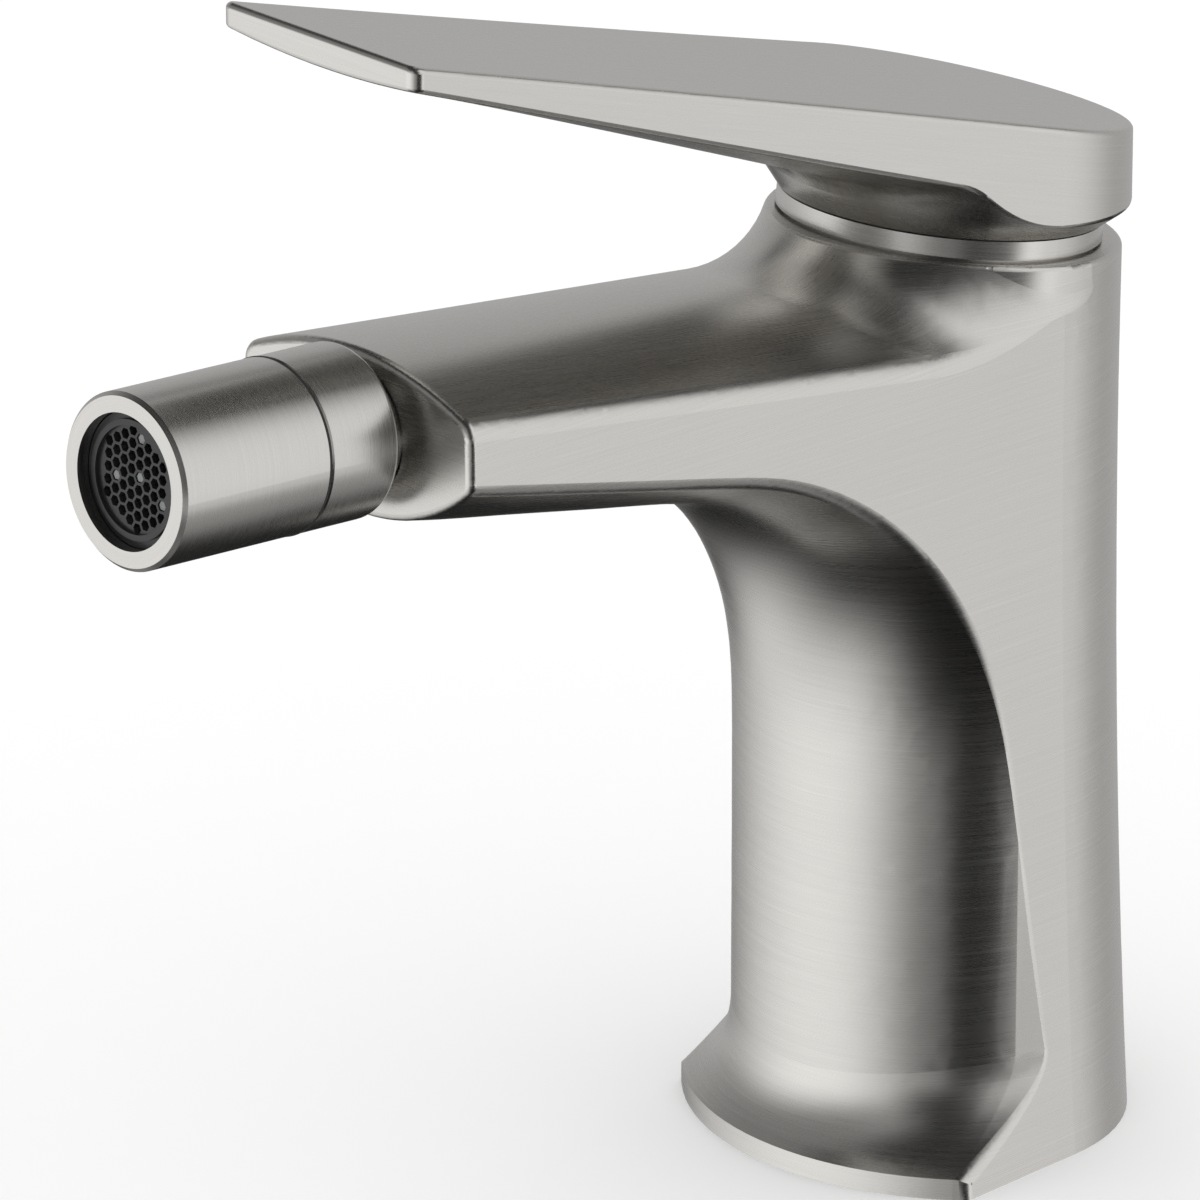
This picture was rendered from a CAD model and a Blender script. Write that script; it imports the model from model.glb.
# %% [markdown]
# # A bidet mixer in brushed nickel
# The solids of the mixer come from the CAD model, already packed, so nothing here changes
# their form. This lesson gives them their finishes, adds a few small pieces that are easier
# to make in mesh code, and sets up the studio: a pale floor, soft light and the camera.
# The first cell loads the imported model. Its box is kept, to compare at the end.

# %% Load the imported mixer
import math

import bmesh
import bpy
from mathutils import Euler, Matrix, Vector


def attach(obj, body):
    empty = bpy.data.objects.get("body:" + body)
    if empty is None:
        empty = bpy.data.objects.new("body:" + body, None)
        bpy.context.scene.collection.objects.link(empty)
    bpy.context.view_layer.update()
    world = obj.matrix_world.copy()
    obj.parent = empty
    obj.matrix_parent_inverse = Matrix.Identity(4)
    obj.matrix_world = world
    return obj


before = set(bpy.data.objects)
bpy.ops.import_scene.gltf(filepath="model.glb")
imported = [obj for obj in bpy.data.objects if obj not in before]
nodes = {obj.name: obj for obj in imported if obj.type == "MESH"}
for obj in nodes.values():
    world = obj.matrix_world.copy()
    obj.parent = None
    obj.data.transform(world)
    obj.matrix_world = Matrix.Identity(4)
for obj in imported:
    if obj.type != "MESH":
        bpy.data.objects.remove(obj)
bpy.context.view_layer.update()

# %% [markdown]
# ## Writing shader sums as Python
# A material is a graph of nodes, and long graphs are hard to read as calls. Here one small
# class stands for a socket. Adding or multiplying two of them adds a Math node, so a mask can
# be written as 1 - wear. Every other node comes from one method, which sets the node's own
# settings first and then fills its sockets with values or links.


# %% The socket class
class Field:
    """A socket that can be used in sums; each sum adds a Math node."""

    def __init__(self, graph, socket):
        self.graph, self.socket = graph, socket

    def maths(self, operation, *others):
        values = dict(enumerate((self, *others)))
        return self.graph.add("ShaderNodeMath", {"operation": operation}, values)

    def __add__(self, other):
        return self.maths("ADD", other)

    def __mul__(self, other):
        return self.maths("MULTIPLY", other)

    def __sub__(self, other):
        return self.maths("SUBTRACT", other)

    def __rsub__(self, other):
        return self.graph.add("ShaderNodeMath", {"operation": "SUBTRACT"}, {0: other, 1: self})

    __radd__, __rmul__ = __add__, __mul__


class Graph:
    """The nodes of a material or of the world, and the one method that adds to them."""

    def __init__(self, owner):
        owner.use_nodes = True
        self.tree = owner.node_tree

    def add(self, kind, settings=None, values=None, output=0):
        """A new node's output: its settings come first, then its socket values or links."""
        node = self.tree.nodes.new(kind)
        for name, setting in (settings or {}).items():
            setattr(node, name, setting)
        for name, value in (values or {}).items():
            self.fill(node.inputs[name], value)
        return Field(self, node.outputs[output])

    def fill(self, socket, value):
        """Link a field to a socket, or write a value into it."""
        if isinstance(value, Field):
            self.tree.links.new(value.socket, socket)
        else:
            socket.default_value = value

    def blend(self, share, low, high):
        """A colour between two colours."""
        settings = {"data_type": "RGBA"}
        return self.add("ShaderNodeMix", settings, {0: share, 6: low, 7: high}, output=2)

    def ease(self, value, start, end):
        """0 before start and 1 after end, with a soft change between."""
        settings = {"interpolation_type": "SMOOTHSTEP"}
        return self.add("ShaderNodeMapRange", settings, {0: value, 1: start, 2: end})


print("classes ready: Field, Graph")

# %% [markdown]
# ## A finish
# Each finish is one material on Blender's Principled shader. What is the same all over the
# surface, such as how metallic it is, goes straight onto the shader's sockets. What changes
# over the surface comes from noise in the object's own coordinates, so that it stays on the
# piece when the lever or the outlet moves.

# %% The finish class
MM = 0.001


def grey_scaled(colour, share):
    """A colour made lighter or darker by a share, with full alpha."""
    return (*[channel * share for channel in colour], 1)


class Finish(Graph):
    """A material with its shader and the coordinates of the piece that wears it."""

    def __init__(self, name, **constants):
        self.material = bpy.data.materials.new(name)
        super().__init__(self.material)
        self.shader = self.tree.nodes["Principled BSDF"]
        for socket, value in constants.items():
            self.shader.inputs[socket.replace("_", " ")].default_value = value
        self.place = self.add("ShaderNodeTexCoord", output="Object")
        self.facing = self.add("ShaderNodeTexCoord", output="Normal")

    def local(self, origin, tilt, scale):
        """Coordinates from an origin, tilted about X, then multiplied along each axis."""
        values = {
            "Vector": self.place,
            "Location": origin,
            "Rotation": (math.radians(tilt), 0, 0),
            "Scale": [1 / share for share in scale],
        }
        return self.add("ShaderNodeMapping", {"vector_type": "TEXTURE"}, values)

    def noise(self, where, scale=1.0, detail=2.0, rough=0.5):
        values = {"Vector": where, "Scale": scale, "Detail": detail, "Roughness": rough}
        return self.add("ShaderNodeTexNoise", {"noise_dimensions": "3D"}, values)

    def wear(self, colour=None, roughness=None, height=None, depth=0.0):
        """Connect the patterns that vary over the surface to the shader."""
        if colour is not None:
            self.fill(self.shader.inputs["Base Color"], colour)
        if roughness is not None:
            self.fill(self.shader.inputs["Roughness"], roughness)
        if height is not None:
            values = {"Height": height, "Distance": depth, "Strength": 1.0}
            bump = self.add("ShaderNodeBump", None, values)
            self.fill(self.shader.inputs["Normal"], bump)
        return self.material


print("finish class ready")

# %% [markdown]
# ## Brushed nickel
# Brushed nickel is plated metal that has been drawn along an abrasive belt. The belt leaves
# fine scratches, all in one direction, a fraction of a millimetre wide and centimetres long.
# Stretched noise makes these lines: very fine across the brushing and slow along it. It drives
# three things a little each: the colour, the roughness, and a bump of a few micrometres that
# spreads the reflections across the lines, as on the real surface.
#
# The belt runs along the sides and round the column, so on upright faces the lines are level.
# On flat tops they run along the length. A mask from the surface's own direction picks the one
# or the other. It works only above the foot, whose flare stays level-brushed all over. A slow,
# cloudy noise adds the slight unevenness of a hand-held piece.

# %% Brushed along the length
nickel = (0.603, 0.589, 0.563)
FINE = 4200.0               # noise cells per metre across the brushing
SLOW = 55.0                 # and along it
LINE_DEPTH = 0.000003       # metres
LINE_ROUGH = 0.6            # how ragged the lines are
dark_share, pale_share = 0.88, 1.11         # the tone's range, as shares of the nickel
scratch_start, scratch_full = 0.62, 0.80    # the line values that count as scratches
scratch_share, scratch_bright = 0.16, 1.3
satin, satin_lines, satin_clouds = 0.21, 0.09, 0.04
flat_start, flat_full = 0.62, 0.86          # how far a face must look up to count as flat
foot_top, foot_clear = 50 * MM, 60 * MM


def nickel_finish(finish, lines):
    """Colour, roughness and bump of brushed nickel from its lines."""
    clouds = finish.noise(finish.place, scale=38.0, detail=3.0)
    scratches = finish.ease(lines, scratch_start, scratch_full)
    tone = lines * 0.72 + clouds * 0.28
    dark, pale = grey_scaled(nickel, dark_share), grey_scaled(nickel, pale_share)
    colour = finish.blend(tone, dark, pale)
    bright = grey_scaled(nickel, scratch_bright)
    colour = finish.blend(scratches * scratch_share, colour, bright)
    roughness = satin + satin_lines * lines + satin_clouds * clouds
    return finish.wear(colour, roughness, lines, depth=LINE_DEPTH)


def brushed(name, tilt):
    """Nickel brushed along the length of a piece whose length is tilted about X."""
    finish = Finish(name, Metallic=1.0)
    level_place = finish.local((0, 0, 0), tilt, (SLOW, SLOW, FINE))
    along_place = finish.local((0, 0, 0), tilt, (FINE, SLOW, SLOW))
    level = finish.noise(level_place, rough=LINE_ROUGH)
    along = finish.noise(along_place, rough=LINE_ROUGH)
    lean = math.radians(tilt)
    up = (0, -math.sin(lean), math.cos(lean))
    upright = finish.add(
        "ShaderNodeVectorMath",
        {"operation": "DOT_PRODUCT"},
        {0: finish.facing, 1: up},
        output="Value",
    )
    height = finish.add("ShaderNodeSeparateXYZ", None, {0: finish.place}, output="Z")
    above_foot = finish.ease(height, foot_top, foot_clear)
    flat = finish.ease(upright.maths("ABSOLUTE"), flat_start, flat_full) * above_foot
    lines = level * (1 - flat) + along * flat
    return nickel_finish(finish, lines)


lever_rise = 16.8           # slope of the lever's top, in degrees
body_nickel = brushed("brushed nickel, body", 0)
lever_nickel = brushed("brushed nickel, lever", -lever_rise)
print("made", body_nickel.name, "and", lever_nickel.name)

# %% [markdown]
# Round pieces are polished on a lathe, so their lines run round the axis: rings on the end
# face and hoops on the barrel. One pattern does both, because it changes quickly with the
# distance from the axis and with the distance along it, and slowly round it.

# %% Turned round an axis
outlet_rise = 3.94                      # degrees
ball_place = (0, -0.1092, 0.1211)       # the swivel ball's middle, in metres
seat_tilt = 8.8
seat_place = (0, 0, 0.1223)


def hoops(finish, origin, tilt, fine, slow):
    """Noise drawn out round an axis: rings on its faces, hoops on its barrels."""
    near = finish.local(origin, tilt, (1, 1, 1))
    across, deep, along = [
        finish.add("ShaderNodeSeparateXYZ", None, {0: near}, output=n) for n in range(3)
    ]
    radius = (across * across + deep * deep).maths("SQRT")
    rounds = {0: radius * fine + across * slow, 1: along * fine + deep * slow, 2: across * slow}
    return finish.noise(finish.add("ShaderNodeCombineXYZ", None, rounds), rough=LINE_ROUGH)


def turned_nickel(name, origin, tilt):
    finish = Finish(name, Metallic=1.0)
    return nickel_finish(finish, hoops(finish, origin, tilt, FINE, SLOW))


outlet_nickel = turned_nickel("brushed nickel, outlet", ball_place, 90 - outlet_rise)
ring_nickel = turned_nickel("brushed nickel, ring", seat_place, -seat_tilt)
print("made", outlet_nickel.name, "and", ring_nickel.name)

# %% [markdown]
# ## Brass and steel inside
# The nut over the cartridge, the spindle and the swivel ball are turned brass, left bare. Lathe
# tools leave coarser rings than polishing does. The hinge pin and the grub screw are drawn
# steel, with faint lines along their length.


# %% Brass and steel
def turned_brass(name, origin, tilt):
    finish = Finish(name, Metallic=1.0)
    rings = hoops(finish, origin, tilt, 1400.0, 12.0)
    stains = finish.noise(finish.place, scale=160.0, detail=4.0)
    colour = finish.blend(stains, (0.50, 0.37, 0.17, 1), (0.72, 0.58, 0.33, 1))
    return finish.wear(colour, 0.24 + 0.16 * rings, rings, depth=0.000008)


def drawn_steel():
    finish = Finish("drawn steel", Metallic=1.0)
    lines_place = finish.local((0, 0, 0), 0, (120.0, 2400.0, 2400.0))
    lines = finish.noise(lines_place, rough=LINE_ROUGH)
    colour = finish.blend(lines, (0.50, 0.50, 0.50, 1), (0.68, 0.68, 0.67, 1))
    return finish.wear(colour, 0.2 + 0.15 * lines, lines, depth=0.000004)


seat_brass = turned_brass("turned brass, cartridge", seat_place, -seat_tilt)
ball_brass = turned_brass("turned brass, swivel", ball_place, 90 - outlet_rise)
steel = drawn_steel()
print("made", seat_brass.name, ball_brass.name, steel.name)

# %% [markdown]
# ## Rubber, plastics and ceramic
# These are moulded or pressed, so they have no direction. Rubber is nearly black and dull, with
# a dusting of paler bloom. The cartridge is pale acetal with a satin skin, its guide a dark
# glass-filled grade with fine flecks, and the honeycomb a shiny black. The discs are pressed
# alumina, lapped until they shine, with the slight mottling of sintered powder.


# %% Moulded finishes
def moulded(name, low, high, roughness, grain, depth, **constants):
    """A moulded surface: two close colours in clouds, and a fine grain."""
    finish = Finish(name, **constants)
    clouds = finish.noise(finish.place, scale=210.0, detail=4.0)
    grains = finish.noise(finish.place, scale=grain, detail=1.0)
    colour = finish.blend(clouds, (*low, 1), (*high, 1))
    return finish.wear(colour, roughness + 0.12 * grains, grains, depth=depth)


rubber = moulded(
    "seal rubber", (0.018, 0.018, 0.018), (0.042, 0.041, 0.040), 0.58, 5200.0, 0.00002
)
acetal = moulded(
    "cartridge acetal", (0.70, 0.70, 0.67), (0.79, 0.79, 0.77), 0.36, 3600.0, 0.000008
)
filled = moulded(
    "guide plastic", (0.20, 0.21, 0.225), (0.30, 0.31, 0.335), 0.42, 4200.0, 0.00001
)
alumina = moulded(
    "lapped alumina", (0.85, 0.835, 0.80), (0.91, 0.90, 0.875), 0.12, 6500.0, 0.000001
)
black = moulded(
    "black plastic", (0.010, 0.010, 0.011), (0.022, 0.022, 0.024), 0.26, 3000.0, 0.00001
)
screen = moulded(
    "screen plastic", (0.43, 0.45, 0.45), (0.57, 0.59, 0.59), 0.4, 3600.0, 0.00001
)
print("made", [material.name for material in (rubber, acetal, filled, alumina, black, screen)])

# %% [markdown]
# ## Dressing the CAD nodes
# Every node keeps its mesh and gets one finish. The table below says which.

# %% Assign the finishes
dress = {
    body_nickel: ["body"],
    lever_nickel: ["lever"],
    ring_nickel: ["cap_ring"],
    outlet_nickel: ["spout_collar", "aerator_housing"],
    seat_brass: ["cartridge_nut", "spindle"],
    ball_brass: ["swivel_ball", "ball_retainer"],
    steel: ["pivot_pin", "grub_screw"],
    rubber: ["base_gasket", "cartridge_seals", "ball_seal", "aerator_washer"],
    acetal: ["cartridge_housing", "cartridge_base", "disc_carrier"],
    filled: ["spindle_guide", "swivel_glide_ring"],
    alumina: ["fixed_disc", "moving_disc"],
    black: ["index_plug", "aerator_insert"],
    screen: ["aerator_screens"],
}
for material, names in dress.items():
    for name in names:
        nodes[name].data.materials.clear()
        nodes[name].data.materials.append(material)
bare = sorted(set(nodes) - {name for names in dress.values() for name in names})
print("dressed", sum(map(len, dress.values())), "nodes, bare", bare)

# %% [markdown]
# Where the foot's flare runs out into the column, two sliver triangles tilt the shading of
# their neighbours. A Weighted Normal modifier lets large faces decide the shading instead. It
# works only on the points round the two slivers, because the CAD model's own shading is better
# everywhere else.

# %% Even out the shading at the two slivers
body = nodes["body"]
sliver, sliver_reach = (0.01962, -0.01686, 0.01533), 0.0008
near_sliver = body.vertex_groups.new(name="slivers")
points = [
    point.index
    for point in body.data.vertices
    if (Vector((abs(point.co.x), point.co.y, point.co.z)) - Vector(sliver)).length < sliver_reach
]
near_sliver.add(points, 1.0, "REPLACE")
weighted = body.modifiers.new("even shading", "WEIGHTED_NORMAL")
weighted.vertex_group = near_sliver.name
weighted.weight = 100
print("points evened", len(points))

# %% [markdown]
# ## Closed cells in the honeycomb
# On the real outlet a few cells of the honeycomb are closed by a paler web, which steadies the
# stream. Each web is a thin six-sided plate with a bevelled rim and a slight dish, set a little
# below the face. All are one piece, made with bmesh from rings of six points. They sit in the
# frame of the outlet and ride on it.

# %% Make the webs
outlet_turn = Euler((math.radians(90 - outlet_rise), 0, 0)).to_matrix()


def outlet_point(across, up, along):
    """A point in the outlet's frame, given in millimetres from the ball's middle."""
    return Vector(ball_place) + outlet_turn @ Vector((across, up, along)) * MM


def new_piece(name, mesh_builder, body, material):
    """Turn a bmesh into an object with its body, slot and finish."""
    mesh = bpy.data.meshes.new(name)
    bmesh.ops.recalc_face_normals(mesh_builder, faces=mesh_builder.faces)
    mesh_builder.to_mesh(mesh)
    mesh_builder.free()
    mesh.materials.append(material)
    piece = bpy.data.objects.new(name, mesh)
    bpy.context.scene.collection.objects.link(piece)
    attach(piece, body)
    print(name, "faces", len(mesh.polygons))


HEX = 6
cell_pitch = 1.62           # from one cell's middle to the next, in millimetres
cell_wall = 0.34
web_clearance = 0.03
cell_column = cell_pitch * math.sqrt(3) / 2
web_radius = (cell_pitch - cell_wall) / 2 / math.cos(math.radians(30)) - web_clearance
web_face = 26.62            # the webs' rims, from the ball's middle
web_rings = [               # radius, and place along the outlet
    (0.0, web_face - 0.5),
    (web_radius, web_face - 0.5),
    (web_radius, web_face - 0.12),
    (web_radius * 0.86, web_face),
    (web_radius * 0.4, web_face - 0.08),
    (0.0, web_face - 0.1),
]
closed_cells = [(0, 3), (0, 0), (-3, 0), (3, -1)]   # column and row


def web_ring(mesh_builder, across, up, radius, along):
    """One ring of a web: six corners, or a single point where the radius is nothing."""
    if radius == 0.0:
        return [mesh_builder.verts.new(outlet_point(across, up, along))]
    ring = []
    for corner in range(HEX):
        turn = math.radians(60 * corner)
        beside, over = across + radius * math.cos(turn), up + radius * math.sin(turn)
        ring.append(mesh_builder.verts.new(outlet_point(beside, over, along)))
    return ring


webs = bmesh.new()
for column, row in closed_cells:
    across = (column + 0.5) * cell_column
    up = (row + (0.25 if column % 2 == 0 else -0.25)) * cell_pitch
    rings = [web_ring(webs, across, up, radius, along) for radius, along in web_rings]
    for below, above in zip(rings, rings[1:]):
        for k in range(HEX):
            corners = [
                below[k % len(below)],
                below[(k + 1) % len(below)],
                above[(k + 1) % len(above)],
                above[k % len(above)],
            ]
            webs.faces.new(list(dict.fromkeys(corners)))
web_plastic = moulded(
    "web plastic", (0.20, 0.205, 0.21), (0.29, 0.295, 0.295), 0.35, 2600.0, 0.00002
)
new_piece("honeycomb_webs", webs, "outlet", web_plastic)

# %% [markdown]
# ## The wiper in the swivel's seam
# The outlet swings over a ball-shaped nose, with a gap of 0.3 mm that looks like a fine black
# line. On the real part a thin rubber wiper lies in that gap and keeps scale out of the ball.
# It is a band of a sphere, so it is made by turning a small profile round the outlet's axis.
# It stays with the mixer, and because the gap is a sphere's too, the outlet can swing past it.

# %% Make the wiper
wiper = bmesh.new()
around = 96                             # points round the outlet's axis
inner_ball, outer_ball = 11.99, 12.24   # radii in millimetres
inner_angles, outer_angles = (55, 59, 63, 66.6), (66.2, 63, 59, 55.4)
profile = []
for ball, angles in ((inner_ball, inner_angles), (outer_ball, outer_angles)):
    for angle in angles:
        lean = math.radians(angle)
        profile.append((ball * math.sin(lean), ball * math.cos(lean)))
rounds = []
for step in range(around):
    turn = 2 * math.pi * step / around
    rounds.append([
        wiper.verts.new(outlet_point(r * math.cos(turn), r * math.sin(turn), along))
        for r, along in profile
    ])
for step in range(around):
    here, there = rounds[step], rounds[(step + 1) % around]
    for k in range(len(profile)):
        n = (k + 1) % len(profile)
        wiper.faces.new((here[k], here[n], there[n], there[k]))
new_piece("seam_wiper", wiper, "mixer", rubber)

# %% [markdown]
# ## Threads under the base
# From below one sees three threaded holes: two for the supply hoses and one for the stud. The
# CAD bores are plain. The ridge of each thread is a thin triangle swept up a helix, so it is
# built here as rows of points, one turn after another, joined by faces. The ridges shrink to
# nothing at both ends, as a tap leaves them.


# %% Make the thread ridges
def thread_ridge(name, centre, bore, pitch, low, high, height):
    """A helical ridge on the wall of an upright bore, all in millimetres."""
    ridge = bmesh.new()
    steps = 36                                      # rows of points in one turn
    count = int((high - low) / pitch * steps)
    least, root = 0.02, -0.02                       # the ridge's ends, and its foot in the wall
    rows = []
    for step in range(count + 1):
        turn = 2 * math.pi * step / steps
        level = low + pitch * step / steps
        fade = min(1.0, step / steps, (count - step) / steps)
        tip = max(height * fade, least)
        row = []
        for inward, lift in ((root, -0.36), (tip, -0.05), (tip, 0.05), (root, 0.36)):
            radius = bore - inward
            place = Vector((radius * math.cos(turn), radius * math.sin(turn), 0))
            place += Vector((*centre, level + lift * pitch))
            row.append(ridge.verts.new(place * MM))
        rows.append(row)
    for below, above in zip(rows, rows[1:]):
        for k in range(4):
            n = (k + 1) % 4
            ridge.faces.new((below[k], below[n], above[n], above[k]))
    ridge.faces.new(rows[0])
    ridge.faces.new(rows[-1])
    new_piece(name, ridge, "mixer", ring_nickel)


inlet_side, inlet_line = 8.5, -4.0
inlet = {"bore": 4.5, "pitch": 1.0, "low": 0.8, "high": 13.0, "height": 0.5}
thread_ridge("inlet_thread_hot", (-inlet_side, inlet_line), **inlet)
thread_ridge("inlet_thread_cold", (inlet_side, inlet_line), **inlet)
thread_ridge(
    "stud_thread", (0.0, 11.5), bore=3.4, pitch=1.25, low=0.9, high=15.0, height=0.55
)

# %% [markdown]
# ## The floor
# The floor is one large pale sheet, matt so that it shows no reflections of its own. To the
# camera it also glows a little, just enough to reach white where nothing shades it, so the
# mixer's shadow stays. That glow is for camera rays alone and lights nothing. The metal mirrors
# the studio around it instead of the floor, so the floor is left out of glossy rays.

# %% Lay the floor
floor_mesh = bpy.data.meshes.new("floor")
side = 6.0                  # half its width, in metres
floor_corners = [(-side, -side, 0), (side, -side, 0), (side, side, 0), (-side, side, 0)]
floor_mesh.from_pydata(floor_corners, [], [(0, 1, 2, 3)])
floor = bpy.data.objects.new("floor", floor_mesh)
bpy.context.scene.collection.objects.link(floor)
floor.visible_glossy = False
paper = Finish("floor paper", Roughness=0.9, Specular_IOR_Level=0.0)
fibres = paper.noise(paper.place, scale=700.0, detail=3.0)
paper.wear(paper.blend(fibres, (0.885, 0.885, 0.885, 1), (0.905, 0.905, 0.905, 1)))
floor_glow = 0.13
glow = paper.add("ShaderNodeLightPath", output="Is Camera Ray") * floor_glow
glow_colour = paper.blend(glow, (0, 0, 0, 1), (1, 1, 1, 1))
paper.fill(paper.shader.inputs["Emission Color"], glow_colour)
paper.shader.inputs["Emission Strength"].default_value = 1.0
floor_mesh.materials.append(paper.material)
print("floor", 2 * side, "m square")

# %% [markdown]
# ## The studio
# Polished metal has hardly any colour of its own: it shows the room. A product photographer
# builds that room from soft boxes and black cards, and the broad dark stripe down the column
# is such a card, beside the camera. Here the room is painted on the world as soft patches,
# each with a compass bearing, a height over the horizon and a brightness. A bearing of 0 is
# straight in front of the spout and 90 is to the right of it. A later patch covers an earlier
# one. Only mirrored rays see the patches; all else gets an even white, so every colour shows
# as it was written.

# %% Paint the studio
studio = bpy.data.worlds.new("studio")
bpy.context.scene.world = studio
room = Graph(studio)
way = room.add("ShaderNodeTexCoord", output="Generated")
east, north, rise = [
    room.add("ShaderNodeSeparateXYZ", None, {0: way}, output=n) for n in range(3)
]
bearing = east.maths("ARCTAN2", north * -1.0) * math.degrees(1)
elevation = rise.maths("ARCSINE") * math.degrees(1)


def patch(light, place, half, soft, level):
    """Lay one soft-edged patch of a brightness over the light so far."""
    turned = (bearing - place[0]).maths("WRAP", 180.0, -180.0).maths("ABSOLUTE")
    raised = (elevation - place[1]).maths("ABSOLUTE")
    across = 1 - room.ease(turned, half[0] - soft[0], half[0] + soft[0])
    up = 1 - room.ease(raised, half[1] - soft[1], half[1] + soft[1])
    share = across * up
    return light * (1 - share) + share * level


patches = [
    # place, half size, softness (bearing, elevation in degrees), brightness
    ((19, 74), (163, 44), (3, 9), 0.015),
    ((3, -65), (127, 42), (11, 10), 0.012),
    ((-32, 14), (54, 27), (30, 10), 0.26),
    ((-40, -38), (58, 20), (30, 20), 0.95),
    ((-20, -14), (40, 14), (34, 14), 1.42),
    ((-159, -60), (50, 33), (19, 3), 0.02),
    ((121, 14), (31, 41), (24, 8), 1.05),
    ((110, -22), (8, 8), (5, 5), 1.5),
    ((56, 42), (23, 51), (14, 8), 0.012),
    ((80, -43), (21, 36), (5, 7), 0.005),
]
light = 0.52                # the room between the patches
for place, half, soft, level in patches:
    light = patch(light, place, half, soft, level)
mirrored = room.add("ShaderNodeLightPath", output="Is Glossy Ray")
light = light * mirrored + (1 - mirrored)
backdrop = room.tree.nodes["Background"]
room.fill(backdrop.inputs["Color"], (1, 1, 1, 1))
room.fill(backdrop.inputs["Strength"], light)
print("studio patches", len(patches))

# %% [markdown]
# ## The camera
# The photograph was taken from the front right, a little above, with a long lens, so upright
# lines stay almost parallel. The bearing, height and lens here were found by laying the render
# over the photograph.

# %% Set the camera
camera_data = bpy.data.cameras.new("camera")
camera = bpy.data.objects.new("camera", camera_data)
bpy.context.scene.collection.objects.link(camera)
camera.location = (1.01655, -1.01717, 0.64390)
camera.rotation_euler = (math.radians(68.24), 0, math.radians(46.7))
camera_data.lens = 360
camera_data.sensor_width = 36
camera_data.clip_end = 20
bpy.context.scene.camera = camera
bpy.context.scene.view_settings.view_transform = "Standard"
print("camera at", tuple(camera.location))
